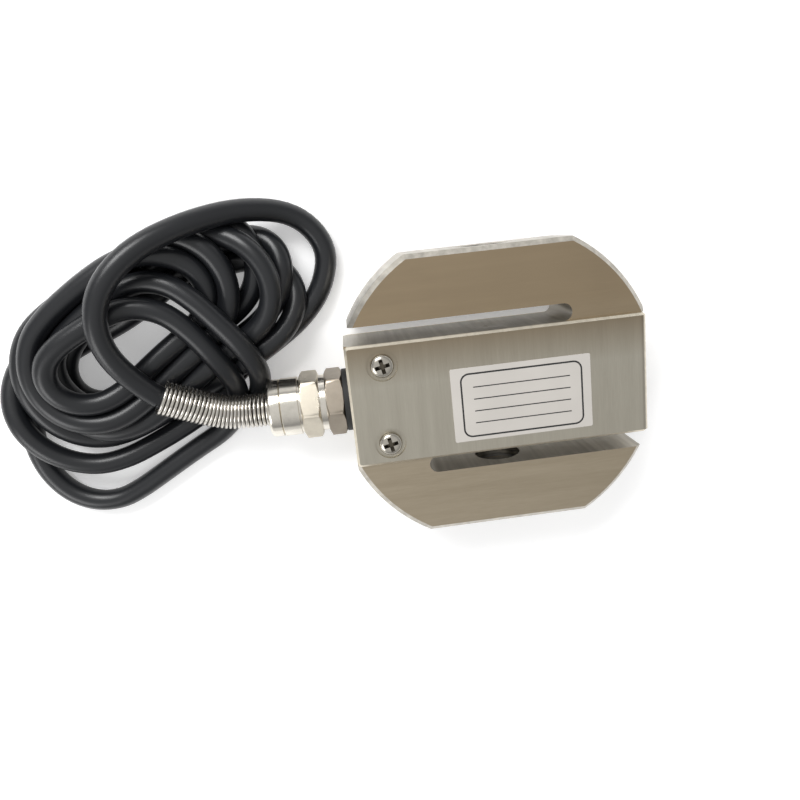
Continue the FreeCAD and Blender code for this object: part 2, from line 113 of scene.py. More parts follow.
FRAME_SHIFT = (0.1 * MM, -0.2 * MM)
RULES = 4
RULE_TOP = 3.9 * MM
RULE_PITCH = 2.6 * MM
RULE_HALF_LENGTH = 10.4 * MM
RULE_HALF_WIDTH = 0.11 * MM
INK_LIFT = 0.02 * MM

# ---- Cable route, millimetres ----
LEAD_ROUTE = [
    (-71.98, 6.40, 13.75),
    (-76.9, 12.0, 16.8),
    (-80.2, 20.6, 19.4),
    (-78.4, 29.4, 20.2),
    (-71.2, 36.6, 18.8),
    (-60.6, 41.0, 14.0),
    (-49.0, 43.0, 8.0),
    (-38.6, 41.0, 3.2),
    (-32.8, 33.4, 2.4),
    (-34.8, 25.0, 2.4),
    (-40.2, 18.4, 2.4),
    (-48.0, 13.2, 2.4),
    (-56.6, 8.4, 2.4),
]
# One row for each turn of the coil: centre and radius of its low end, the same of its high end,
# and its rank where turns cross: the higher rank lies on top.
FIRST_TURNS = [
    ((-90.0, 5.6), 15.0, (-50.2, 26.0), 12.4, 1.0),
    ((-86.6, 11.0), 14.8, (-53.4, 24.8), 12.2, 2.0),
    ((-84.6, 9.8), 12.2, (-60.0, 26.6), 11.8, 3.0),
    ((-83.6, 12.4), 12.2, (-53.0, 25.8), 12.0, 5.0),
    ((-82.0, 13.0), 12.4, (-66.0, 24.4), 12.6, 6.0),
    ((-82.8, 14.8), 12.8, (-66.0, 24.4), 12.6, 7.0),
]
FIRST_TURNS_WOUND = 5.40
# The cable then crosses over the coil, with the rank of each point as its third number.
CROSSING = [
    (-78.0, 31.0, 8.0),
    (-71.6, 31.4, 8.5),
    (-66.2, 27.2, 9.0),
    (-62.0, 21.8, 9.0),
    (-58.6, 16.2, 9.0),
    (-57.0, 10.4, 8.0),
    (-58.6, 4.8, 2.0),
    (-61.6, 0.6, 0.5),
]
LAST_TURNS = [
    ((-94.2, -4.2), 15.6, (-50.2, 24.8), 12.4, 0.0),
    ((-83.6, 13.0), 12.6, (-56.0, 25.6), 12.4, 3.0),
    ((-83.6, 13.0), 12.6, (-60.0, 25.6), 12.4, 7.5),
]
LAST_TURNS_WOUND = 1.40
TAIL_ROUTE = [
    (-77.0, 30.6, 8.5),
    (-71.0, 33.0, 9.5),
    (-65.2, 30.8, 10.0),
    (-60.2, 26.0, 10.0),
    (-55.8, 20.8, 10.0),
    (-52.2, 15.6, 9.5),
    (-50.6, 10.4, 8.0),
    (-51.2, 5.6, 3.0),
    (-53.2, 1.2, 0.0),
]

# ---- How the coil winds and settles, millimetres ----
POINTS_PER_TURN = 72
END_SHARPNESS = 6.0       # how squarely a turn's end circles meet its straight sides
SETTLE_STEP = 3.0         # spacing of the points that settle
SETTLE_ROUNDS = 600
TIGHTEST_BEND = 13.5      # radius below which a settling bend opens again
SMOOTH_ROUNDS = 2         # rounds at the end that only even out the settling
FLOOR_REST = 2.4          # height of the cable's centre on the floor
RANK_HEIGHT = 1.2         # first guess of the height that one rank adds
UNDER_ARCH = 3.5          # above this the lead is an arch over the coil
OVER_ALL, UNDER_ALL = 30.0, -1.0  # ranks of the arch and of the run below it
NEIGHBOURS = 5            # points along the cable that don't count as another strand
PLAY = 0.1
LATE = 0.6                # share of the rounds after which the turns move more gently
SINK = (0.06, 0.02)       # drop in each round, early and late
PULL_BACK = (0.03, 0.004)  # share of the way back to the first plan, early and late
STIFFNESS = 0.4

# ---- Stage ----
FLOOR_HALF = 3.0
FLOOR_DROP = 0.02 * MM
FLOOR_LIFT = 0.30         # light that the floor adds where the background shows, so that it is white


# ---- Small tools ----
def link(name, mesh):
    """Object for a mesh or curve, linked to the scene."""
    obj = bpy.data.objects.new(name, mesh)
    bpy.context.scene.collection.objects.link(obj)
    return obj


def mesh_object(name, verts, faces, smooth=True):
    """Mesh object from vertices and faces in metres."""
    mesh = bpy.data.meshes.new(name)
    mesh.from_pydata([tuple(v) for v in verts], [], faces)
    mesh.validate()
    bm = bmesh.new()
    bm.from_mesh(mesh)
    bmesh.ops.recalc_face_normals(bm, faces=bm.faces)
    bm.to_mesh(mesh)
    bm.free()
    shade(mesh, 35 if smooth else 1)
    return link(name, mesh)


def shade(mesh, degrees):
    """Smooth shading with edges sharper than an angle kept crisp."""
    for face in mesh.polygons:
        face.use_smooth = True
    mesh.set_sharp_from_angle(angle=math.radians(degrees))


def ring_faces(rows, steps):
    """Faces between rings of vertices, from each ring to the next and from the last to the first."""
    faces = []
    for row in range(rows):
        a, b = row * steps, ((row + 1) % rows) * steps
        for k in range(steps):
            n = (k + 1) % steps
            faces.append((a + k, a + n, b + n, b + k))
    return faces


def lathe(name, profile, origin, along, steps):
    """Closed solid of revolution from (distance along, radius) points about an axis."""
    along = Vector(along).normalized()
    side = along.orthogonal().normalized()
    other = along.cross(side)
    verts = []
    for distance, radius in profile:
        for k in range(steps):
            angle = 2 * math.pi * k / steps
            out = side * math.cos(angle) + other * math.sin(angle)
            verts.append(Vector(origin) + along * distance + out * radius)
    return mesh_object(name, verts, ring_faces(len(profile), steps))


def place(piece, slot, material, *nodes):
    """Gives a piece the root body and its material, and hides the CAD nodes it stands for; slot is not
    used.
    """
    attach(piece, "root")
    if nodes:
        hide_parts(*nodes)
    piece.data.materials.clear()
    piece.data.materials.append(material)
    return piece


# ---- Materials ----
def new_material(name, color, roughness, metallic=0.0):
    """Material with a Principled shader, and its node tree."""
    mat = bpy.data.materials.new(name)
    mat.use_nodes = True
    nodes = mat.node_tree.nodes
    bsdf = nodes["Principled BSDF"]
    bsdf.inputs["Base Color"].default_value = (*color, 1)
    bsdf.inputs["Roughness"].default_value = roughness
    bsdf.inputs["Metallic"].default_value = metallic
    return mat, mat.node_tree, bsdf


def noise(tree, scale, stretch=(1, 1, 1), detail=4, rough=0.6):
    """Noise in object space, stretched along the axes; scale is in features a metre."""
    coord = tree.nodes.new("ShaderNodeTexCoord")
    mapping = tree.nodes.new("ShaderNodeMapping")
    mapping.inputs["Scale"].default_value = stretch
    tex = tree.nodes.new("ShaderNodeTexNoise")
    tex.inputs["Scale"].default_value = scale
    tex.inputs["Detail"].default_value = detail
    tex.inputs["Roughness"].default_value = rough
    tree.links.new(coord.outputs["Object"], mapping.inputs["Vector"])
    tree.links.new(mapping.outputs["Vector"], tex.inputs["Vector"])
    return tex.outputs["Fac"]


def ramp(tree, source, stops):
    """Colour ramp fed by a value; stops are (position, red green blue)."""
    node = tree.nodes.new("ShaderNodeValToRGB")
    elements = node.color_ramp.elements
    while len(elements) < len(stops):
        elements.new(0.5)
    for element, (position, color) in zip(elements, stops):
        element.position = position
        element.color = (*color, 1)
    tree.links.new(source, node.inputs["Fac"])
    return node.outputs["Color"]


def remap(tree, source, low, high):
    """Value from 0..1 spread over a range."""
    node = tree.nodes.new("ShaderNodeMapRange")
    node.inputs["To Min"].default_value = low
    node.inputs["To Max"].default_value = high
    tree.links.new(source, node.inputs["Value"])
    return node.outputs["Result"]


def mix(tree, factor, a, b):
    """Colour mix of two sockets."""
    node = tree.nodes.new("ShaderNodeMix")
    node.data_type = "RGBA"
    tree.links.new(factor, node.inputs["Factor"])
    tree.links.new(a, node.inputs["A"])
    tree.links.new(b, node.inputs["B"])
    return node.outputs["Result"]


def bump(tree, bsdf, height, strength, distance):
    """Bump from a height socket into the shader."""
    node = tree.nodes.new("ShaderNodeBump")
    node.inputs["Strength"].default_value = strength
    node.inputs["Distance"].default_value = distance
    tree.links.new(height, node.inputs["Height"])
    tree.links.new(node.outputs["Normal"], bsdf.inputs["Normal"])


def facing(tree, axis):
    """0 to 1 by how squarely a surface faces along one axis, either way."""
    geometry = tree.nodes.new("ShaderNodeNewGeometry")
    split = tree.nodes.new("ShaderNodeSeparateXYZ")
    size = tree.nodes.new("ShaderNodeMath")
    size.operation = "ABSOLUTE"
    step = tree.nodes.new("ShaderNodeMapRange")
    step.inputs["From Min"].default_value = 0.80
    step.inputs["From Max"].default_value = 0.95
    tree.links.new(geometry.outputs["True Normal"], split.inputs["Vector"])
    tree.links.new(split.outputs[axis], size.inputs[0])
    tree.links.new(size.outputs[0], step.inputs["Value"])
    return step.outputs["Result"]


def along_axis(tree, axis, start, end):
    """0 to 1 between two places along an object axis."""
    coord = tree.nodes.new("ShaderNodeTexCoord")
    split = tree.nodes.new("ShaderNodeSeparateXYZ")
    span = tree.nodes.new("ShaderNodeMapRange")
    span.inputs["From Min"].default_value = start
    span.inputs["From Max"].default_value = end
    tree.links.new(coord.outputs["Object"], split.inputs["Vector"])
    tree.links.new(split.outputs[axis], span.inputs["Value"])
    return span.outputs["Result"]


def brushed(name, grain, face_tones, wall_tones_with_painted_light, roughness, painted_upper_reflection=None):
    """Brushed plate: long grain on its faces, faint cutter marks on its walls.

    Tones are a (low, high) pair of colours; the wall tones, lighter than the face tones, are partly the
    milled finish and partly painted light on the lit edges and walls. The last argument is a painted
    reflection: the colour of a darker, browner upper side, and the places where it starts and is full.
    """
    mat, tree, bsdf = new_material(name, face_tones[1], roughness, 1.0)
    fine = noise(tree, 5200, grain, 5, 0.7)
    broad = noise(tree, 420, grain, 3, 0.5)
    cloud = noise(tree, 60, (1, 1, 1), 3, 0.5)
    grain_tone = ramp(tree, fine, [(0.25, face_tones[0]), (0.75, face_tones[1])])
    streak_tone = ramp(tree, broad, [(0.25, face_tones[0]), (0.75, face_tones[1])])
    face = mix(tree, cloud, grain_tone, streak_tone)
    if painted_upper_reflection:
        # Painted reflection: the upper side gets a darker, browner tone, as a reflection of the room
        # would give it.
        reflection_tone, start, end = painted_upper_reflection
        dark = tuple(0.9 * c for c in reflection_tone)
        light = tuple(1.12 * c for c in reflection_tone)
        cloudy = ramp(tree, cloud, [(0.3, dark), (0.7, reflection_tone)])
        streaky = ramp(tree, broad, [(0.3, reflection_tone), (0.7, light)])
        face = mix(tree, along_axis(tree, "Y", start, end), face, mix(tree, fine, cloudy, streaky))
    # Walls get the wall tones: their own milled finish, made lighter as painted light on the lit edges
    # and slot walls.
    marks = noise(tree, 700, (1, 1, 0.05), 3, 0.5)
    wall = ramp(tree, marks, [(0.30, wall_tones_with_painted_light[0]), (0.70, wall_tones_with_painted_light[1])])
    tree.links.new(mix(tree, facing(tree, "Z"), wall, face), bsdf.inputs["Base Color"])
    tree.links.new(remap(tree, fine, roughness - 0.06, roughness + 0.10), bsdf.inputs["Roughness"])
    bump(tree, bsdf, fine, 0.2, 0.012 * MM)
    return mat


def plated(name, color, roughness):
    """Bright nickel plating with faint turning lines and a few dull spots."""
    mat, tree, bsdf = new_material(name, color, roughness, 1.0)
    lines = noise(tree, 6000, (1, 0.02, 0.02), 3, 0.5)
    cloud = noise(tree, 260, (1, 1, 1), 4, 0.6)
    dull = tuple(0.86 * c for c in color)
    tree.links.new(ramp(tree, cloud, [(0.35, dull), (0.62, color)]), bsdf.inputs["Base Color"])
    tree.links.new(remap(tree, cloud, roughness + 0.08, roughness - 0.05), bsdf.inputs["Roughness"])
    bump(tree, bsdf, lines, 0.10, 0.02 * MM)
    return mat


def moulded(name, color, roughness, grain=1500, depth=0.02, vary=0.85):
    """Rubber, plastic or lacquer with a fine skin and slight changes of tone."""
    mat, tree, bsdf = new_material(name, color, roughness)
    skin = noise(tree, grain * 4, (1, 1, 1), 4, 0.6)
    cloud = noise(tree, grain / 12, (1, 1, 1), 3, 0.5)
    dark = tuple(vary * c for c in color)
    tree.links.new(ramp(tree, cloud, [(0.35, dark), (0.65, color)]), bsdf.inputs["Base Color"])
    tree.links.new(remap(tree, cloud, roughness + 0.06, roughness - 0.06), bsdf.inputs["Roughness"])
    bump(tree, bsdf, skin, 0.2, depth * MM)
    return mat


MAT = {
    # Limb steel: its walls are lighter partly as painted light, and its upper side carries a painted
    # darker, browner reflection.
    "body": brushed("limb_steel", (0.05, 1, 1), ((0.36, 0.30, 0.215), (0.49, 0.42, 0.315)),
                    ((0.40, 0.375, 0.33), (0.58, 0.55, 0.49)), 0.38,
                    ((0.335, 0.262, 0.172), -8.0 * MM, 18.0 * MM)),
    # Cover steel: its cream walls are a painted highlight of its lit edges, and its upper side carries a
    # painted darker, browner reflection.
    "cover": brushed("cover_steel", (1, 0.04, 1), ((0.41, 0.38, 0.315), (0.53, 0.50, 0.42)),
                     ((0.62, 0.57, 0.47), (0.76, 0.70, 0.58)), 0.36,
                     ((0.27, 0.215, 0.145), 4.0 * MM, 13.5 * MM)),
    "screws": plated("screw_nickel", (0.52, 0.49, 0.43), 0.24),
    "gland_metal": plated("gland_nickel", (0.78, 0.74, 0.66), 0.17),
    "spring": plated("spring_wire", (0.66, 0.63, 0.58), 0.24),
    "washer_metal": plated("washer_steel", (0.66, 0.66, 0.65), 0.3),
    "tinned": plated("tinned_copper", (0.72, 0.71, 0.69), 0.34),
    "label": moulded("label_film", (0.58, 0.55, 0.51), 0.40, 900, 0.004, 0.93),
    "seal_rubber": moulded("black_rubber", (0.016, 0.016, 0.016), 0.62, 1400, 0.02),
    "jacket": moulded("cable_jacket", (0.010, 0.011, 0.013), 0.34, 700, 0.012),
    "potting": moulded("silicone_potting", (0.70, 0.67, 0.61), 0.5, 800, 0.05),
    "foil": moulded("gauge_film", (0.62, 0.36, 0.12), 0.3),
    "board": moulded("glass_fibre_board", (0.05, 0.24, 0.11), 0.35),
    "resistor": moulded("resistor_lacquer", (0.28, 0.44, 0.54), 0.28),
    "lead_wire": moulded("enamelled_wire", (0.50, 0.22, 0.08), 0.25),
    "core_red": moulded("insulation_red", (0.52, 0.02, 0.02), 0.36),
    "core_black": moulded("insulation_black", (0.018, 0.018, 0.018), 0.36),
    "core_green": moulded("insulation_green", (0.02, 0.28, 0.07), 0.36),
    "core_white": moulded("insulation_white", (0.78, 0.78, 0.75), 0.36),
}
# Painted reflection of the room on the hexagons' flats: darker, browner nickel than the turned gland.
BODY_HEX_PAINTED_REFLECTION = plated("body_hex_painted_reflection", (0.31, 0.27, 0.22), 0.30)
NUT_HEX_PAINTED_REFLECTION = plated("nut_hex_painted_reflection", (0.62, 0.57, 0.475), 0.27)
# Painted shade inside the screws' cross recesses: a near black steel.
RECESS_PAINTED_SHADE = plated("recess_painted_shade", (0.13, 0.115, 0.09), 0.34)
# Painted shade inside the loading holes: the thread ridges are a dark steel.
THREAD_PAINTED_SHADE = plated("thread_painted_shade", (0.20, 0.19, 0.17), 0.42)
INK = moulded("label_ink", (0.02, 0.02, 0.02), 0.5)


def dress_cad_nodes():
    """Gives every carried CAD node its material and crisp, smooth shading."""
    slots = {s["node"]: s["material_slot"] for s in frame["record"]["subparts"]}
    for name, obj in frame["nodes"].items():
        obj.data.materials.clear()
        obj.data.materials.append(MAT[slots[name]])
        shade(obj.data, 28)


# ---- Cable ----
def wind(turns, wound):
    """Plan points of clockwise turns between a low and a high end, each of its own size, with ranks."""
    points = []
    for step in range(int(wound * POINTS_PER_TURN)):
        turn, part = divmod(step / POINTS_PER_TURN, 1)
        here, after = turns[int(turn)], turns[min(int(turn) + 1, len(turns) - 1)]
        low = Vector(here[0]).lerp(Vector(after[0]), part)
        high = Vector(here[2]).lerp(Vector(after[2]), part)
        low_radius = here[1] + (after[1] - here[1]) * part
        high_radius = here[3] + (after[3] - here[3]) * part
        slope = math.atan2(high.y - low.y, high.x - low.x)
        angle = slope - math.pi / 2 - 2 * math.pi * part
        weight = 0.5 + 0.5 * math.tanh(END_SHARPNESS * math.cos(angle - slope))
        radius = low_radius + (high_radius - low_radius) * weight
        spot = low.lerp(high, weight) + Vector((math.cos(angle), math.sin(angle))) * radius
        points.append((spot.x, spot.y, here[4] + (after[4] - here[4]) * part))
    return points


def nurbs(name, points, scale, radius=0.0):
    """Curve object of one smooth spline, a tube where a radius is given."""
    curve = bpy.data.curves.new(name, "CURVE")
    curve.dimensions = "3D"
    curve.resolution_u = 6
    spline = curve.splines.new("NURBS")
    spline.points.add(len(points) - 1)
    for target, p in zip(spline.points, points):
        target.co = (p[0] * scale, p[1] * scale, p[2] * scale, 1)
        target.radius = radius
    curve.bevel_depth = 1.0 if radius else 0.0
    curve.bevel_resolution = 5
    curve.use_fill_caps = True
    spline.order_u = 3
    spline.use_endpoint_u = True
    return link(name, curve)


def centre_line(points, scale=1.0):
    """Points read from the smooth spline of a route."""
    temp = nurbs("centre_line", points, scale)
    bpy.context.view_layer.update()
    mesh = bpy.data.meshes.new_from_object(temp.evaluated_get(bpy.context.evaluated_depsgraph_get()))
    spots = np.array([v.co[:] for v in mesh.vertices])
    curve = temp.data
    bpy.data.objects.remove(temp)
    bpy.data.curves.remove(curve)
    bpy.data.meshes.remove(mesh)
    return spots


def evenly(spots, step):
    """Points at an even spacing in plan along a run."""
    travelled = np.concatenate([[0], np.cumsum(np.hypot(*np.diff(spots[:, :2], axis=0).T))])
    places = np.linspace(0, travelled[-1], int(round(travelled[-1] / step)) + 1)
    return np.stack([np.interp(places, travelled, spots[:, k]) for k in range(3)], axis=1)


def contact_push(spots, order, apart, gap):
    """How far each point moves so that strands touch and don't pass through each other."""
    along = np.gradient(spots, axis=0)
    along /= np.linalg.norm(along, axis=1)[:, None] + 1e-9
    between = spots[:, None] - spots[None, :]
    distance = np.linalg.norm(between, axis=2)
    one, two = np.nonzero((distance < gap) & apart)
    push = np.zeros_like(spots)
    if not len(one):
        return push
    away = between[one, two]
    cross = np.cross(along[one], along[two])
    size = np.linalg.norm(cross, axis=1)[:, None]
    upward = np.where(cross[:, 2:] < 0, -1.0, 1.0)
    on_top = np.where(order[one] > order[two], 1.0, -1.0)[:, None]
    over = cross / (size + 1e-9) * upward * on_top
    beside = away - np.sum(away * along[one], axis=1)[:, None] * along[one]
    beside /= np.linalg.norm(beside, axis=1)[:, None] + 1e-9
    crossing = np.clip((size - 0.25) / 0.35, 0, 1)
    direction = over * crossing + beside * (1 - crossing)
    direction /= np.linalg.norm(direction, axis=1)[:, None] + 1e-9
    np.add.at(push, one, direction * (gap - distance[one, two])[:, None] * 0.6)
    touches = np.bincount(one, minlength=len(spots))
    return push / np.sqrt(np.maximum(touches, 1))[:, None]


def straighten(spots, fixed):
    """Opens bends that are tighter than the cable takes, without shortening it."""
    before, here, after = spots[:-4], spots[2:-2], spots[4:]
    sag = (before + after) / 2 - here
    depth = np.linalg.norm(sag, axis=1) + 1e-9
    half = np.linalg.norm(after - before, axis=1) / 2
    allowed = half ** 2 / (2 * TIGHTEST_BEND)
    force = sag * (np.maximum(depth - allowed, 0) / depth * 0.5)[:, None]
    move = np.zeros_like(spots)
    move[2:-2] += force / 2
    move[:-4] -= force / 4
    move[4:] -= force / 4
    move[:fixed] = 0
    move[-1] = 0
    return move


def settle(lead, free):
    """Lets the turns sink and rest on the floor and on each other, under the lead and the spring."""
    fixed = len(lead)
    spots = np.vstack([lead, free])
    order = np.concatenate([np.where(lead[:, 2] > UNDER_ARCH, OVER_ALL, UNDER_ALL), free[:, 2]])
    spots[fixed:, 2] = FLOOR_REST + free[:, 2] * RANK_HEIGHT
    start = spots.copy()
    index = np.arange(len(spots))
    apart = np.abs(index[:, None] - index[None, :]) > NEIGHBOURS
    moves = np.ones((len(spots), 1))
    moves[:fixed] = 0
    moves[-1] = 0
    diameter = 2 * CABLE_R / MM
    from_mouth_to_end = range(-4, 21, 2)
    spring = np.array([spring_axis(d * MM)[0][:] for d in from_mouth_to_end]) / MM
    clear = (CABLE_R + SPRING_R) / MM + PLAY
    for turn in range(SETTLE_ROUNDS):
        late = turn > LATE * SETTLE_ROUNDS
        if turn < SETTLE_ROUNDS - SMOOTH_ROUNDS:
            spots += contact_push(spots, order, apart, diameter + PLAY) * moves
        near = np.linalg.norm(spots[:, None] - spring[None], axis=2).min(axis=1)
        spots[:, 2] -= np.maximum(clear - near, 0) * 0.5 * moves[:, 0]
        spots[:, 2] -= SINK[late] * moves[:, 0]
        spots[:, :2] += (start - spots)[:, :2] * PULL_BACK[late] * moves
        for _ in range(2):
            shift = spots - start * (1, 1, 0)
            bend = np.zeros_like(spots)
            bend[fixed + 1:-1] = (shift[fixed:-2] + shift[fixed + 2:]) / 2 - shift[fixed + 1:-1]
            spots += STIFFNESS * bend * moves
            spots += straighten(spots, fixed)
        spots[fixed:, 2] = np.maximum(spots[fixed:, 2], FLOOR_REST)
    return spots[fixed:]


def cable_points():
    """Control points of the cable from the spring's mouth to its stripped end, in millimetres."""
    plan = wind(FIRST_TURNS, FIRST_TURNS_WOUND) + CROSSING
    plan += wind(LAST_TURNS, LAST_TURNS_WOUND) + TAIL_ROUTE
    lead = evenly(centre_line(LEAD_ROUTE), SETTLE_STEP)
    free = settle(lead, evenly(centre_line(plan), SETTLE_STEP))
    every_second = list(range(0, len(free) - 2, 2))
    keep = every_second + [len(free) - 1]
    free[-1, 2] = FLOOR_REST
    return LEAD_ROUTE + [tuple(p) for p in free[keep]]


def build_cable():
    """The free cable, as one tube along its settled route."""
    points = cable_points()
    cable = nurbs("signal_cable", points, MM, CABLE_R)
    place(cable, "jacket", MAT["jacket"], "cable_lead", "cable_tail", "cable_hank")
    line = centre_line(points, MM)
    return cable


# ---- Spring ----
def spring_axis(distance):
    """Point, direction and sideways direction of the spring's axis past its bend's start."""
    out = Vector((0, math.cos(SPRING_LEAN), math.sin(SPRING_LEAN)))
    full = SPRING_BEND_R * SPRING_BEND
    angle = min(max(distance, 0.0), full) / SPRING_BEND_R
    direction = Vector((-math.cos(angle), 0, 0)) + out * math.sin(angle)
    point = Vector((MOUTH_X - SPRING_BEND_START, 0, AXIS_Z))
    point += Vector((-SPRING_BEND_R * math.sin(angle), 0, 0))
    point += out * (SPRING_BEND_R * (1 - math.cos(angle)))
    point += direction * (distance - angle * SPRING_BEND_R)
    return point, direction, out


def build_spring():
    """Wound wire of the strain relief, a little open where the spring starts to bend."""
    near = -(SPRING_BEND_START + SPRING_INSIDE)
    far = SPRING_BEND_R * SPRING_BEND + SPRING_END_RUN
    steps = 20
    count = SPRING_COILS * steps
    curve = bpy.data.curves.new("spring_wire", "CURVE")
    curve.dimensions = "3D"
    curve.bevel_depth = 1.0
    curve.bevel_resolution = 2
    curve.use_fill_caps = True
    spline = curve.splines.new("POLY")
    spline.points.add(count)
    for k in range(count + 1):
        part = k / count
        drift = 0.006 * math.sin(2 * math.pi * (part - 0.05)) * math.exp(-((part - 0.33) / 0.16) ** 2)
        distance = near + (far - near - WIRE_R) * (part + drift)
        centre, direction, out = spring_axis(distance)
        side = direction.cross(out).normalized()
        lift = side.cross(direction).normalized()
        angle = 2 * math.pi * k / steps
        spot = centre + (side * math.cos(angle) + lift * math.sin(angle)) * (SPRING_R - WIRE_R)
        spline.points[k].co = (*spot, 1)
        spline.points[k].radius = WIRE_R
    obj = link("spring_wire", curve)
    return place(obj, "spring", MAT["spring"], "spring_sleeve")


# ---- Screws, collar and label ----
def recess_cutter(centre, top, reach):
    """Cross shaped, tapered cutter for a screw head, of one closed outline."""
    bm = bmesh.new()
    rings = []
    for z, length in zip((top - RECESS_DEPTH, top + reach), RECESS_ARMS):
        half = RECESS_HALF_WIDTH
        spots = []
        for turn in range(4):
            spin = Matrix.Rotation(math.radians(90 * turn + RECESS_TURN), 2)
            for x, y in ((half, -half), (length, -half), (length, half)):
                spots.append(spin @ Vector((x, y)))
        rings.append([bm.verts.new((centre.x + p.x, centre.y + p.y, z)) for p in spots])
    low, high = rings
    count = len(low)
    for k in range(count):
        n = (k + 1) % count
        bm.faces.new((low[k], low[n], high[n], high[k]))
    bm.faces.new(low[::-1])
    bm.faces.new(high)
    bmesh.ops.recalc_face_normals(bm, faces=bm.faces)
    mesh = bpy.data.meshes.new("cutter")
    bm.to_mesh(mesh)
    bm.free()
    return link("cutter", mesh)


def cut(piece, cutter):
    """Piece with a cutter taken out of it, as a plain mesh."""
    modifier = piece.modifiers.new("cut", "BOOLEAN")
    modifier.operation = "DIFFERENCE"
    modifier.solver = "EXACT"
    modifier.object = cutter
    bpy.context.view_layer.update()
    mesh = bpy.data.meshes.new_from_object(piece.evaluated_get(bpy.context.evaluated_depsgraph_get()))
    piece.modifiers.clear()
    old = piece.data
    piece.data = mesh
    bpy.data.meshes.remove(old)
    bpy.data.objects.remove(cutter)
    shade(piece.data, 35)
    return piece


def build_front_screw(node):
    """Domed pan head with a cross recess."""
    low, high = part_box(node)
    centre = (low + high) / 2
    base = high.z - SCREW_HEAD_H
    dome = 1 - SCREW_RIM
    foot = low.z - base
    profile = [(foot, AXIS_R), (foot, SCREW_SHANK_R), (0, SCREW_SHANK_R), (0, SCREW_HEAD_R)]
    profile.append((SCREW_RIM * SCREW_HEAD_H, SCREW_HEAD_R))
    for k in range(1, 9):
        angle = math.radians(90 * k / 8)
        profile.append((SCREW_HEAD_H * (SCREW_RIM + dome * math.sin(angle)),
                        SCREW_HEAD_R * (SCREW_RIM + dome * math.cos(angle))))
    profile.append((SCREW_HEAD_H, AXIS_R))
    head = lathe(node + "_detail", profile, (centre.x, centre.y, base), (0, 0, 1), 64)
    cut(head, recess_cutter(centre, high.z, 1.0 * MM))
    place(head, "screws", MAT["screws"], node)
    # The faces inside the cross recess take the painted shade.
    head.data.materials.append(RECESS_PAINTED_SHADE)
    for face in head.data.polygons:
        out = Vector((face.center.x - centre.x, face.center.y - centre.y)).length / SCREW_HEAD_R
        round_part = max((out - SCREW_RIM) / dome, 0)
        surface = SCREW_RIM + dome * math.sqrt(max(1 - round_part ** 2, 0))
        below_surface = face.center.z - base < (surface - 0.06) * SCREW_HEAD_H
        if out < 0.85 and face.center.z > base and below_surface:
            face.material_index = 1
    return head


def build_collar():
    """End ring of the gland with its rim rounded."""
    outer = (COLLAR_HIGH.z - COLLAR_LOW.z) / 2
    bore = SPRING_R + COLLAR_PLAY
    lip, end = bore + COLLAR_LIP_WALL, COLLAR_RING + COLLAR_LIP
    profile = [(0, bore)]
    for k in range(8, -1, -1):
        angle = math.radians(90 * k / 8)
        profile.append((COLLAR_RIM * (1 - math.sin(angle)), outer - COLLAR_RIM * (1 - math.cos(angle))))
    profile += [(COLLAR_RING, outer), (COLLAR_RING, lip), (end, lip), (end, bore)]
    ring = lathe("spring_collar_detail", profile, (MOUTH_X, 0, AXIS_Z), (1, 0, 0), 128)
    return place(ring, "gland_metal", MAT["gland_metal"], "spring_collar")


def hex_reach(angle, flats):
    """Distance from a hexagon's centre to its side at an angle."""
    turned = (angle - HEX_TURN + math.pi / 6) % (math.pi / 3) - math.pi / 6
    return flats / 2 / math.cos(turned)


def turned_and_milled(name, stations, origin):
    """Solid about the gland's axis from (distance towards the cable, radius, flats or None) stations."""
    verts = []
    for distance, radius, flats in stations:
        for k in range(GLAND_STEPS):
            angle = 2 * math.pi * k / GLAND_STEPS
            reach = min(radius, hex_reach(angle, flats)) if flats else radius
            verts.append((origin - distance, reach * math.cos(angle), AXIS_Z + reach * math.sin(angle)))
    return mesh_object(name, verts, ring_faces(len(stations), GLAND_STEPS))


def paint_hex_reflection(piece, stations, material):
    """Gives the milled faces of a piece a painted reflection: a darker, browner nickel than its turned
    faces.
    """
    piece.data.materials.append(material)
    for row in range(len(stations) - 1):
        if stations[row][2] and stations[row + 1][2]:
            for k in range(GLAND_STEPS):
                piece.data.polygons[row * GLAND_STEPS + k].material_index = 1


def hexagon(start, length, flats):
    """Stations of a hexagon whose corners are turned off at both ends."""
    corner = flats / 2 / math.cos(math.pi / 6)
    inner = flats / 2 - HEX_UNDERCUT
    drop = corner - inner
    rise = [(0.0, inner)] + [(0.5 * drop * part, inner + drop * part) for part in (0.25, 0.5, 0.75, 1.0)]
    ends = [(start + d, r, flats) for d, r in rise]
    return ends + [(start + length - d, r, flats) for d, r in rise[::-1]]


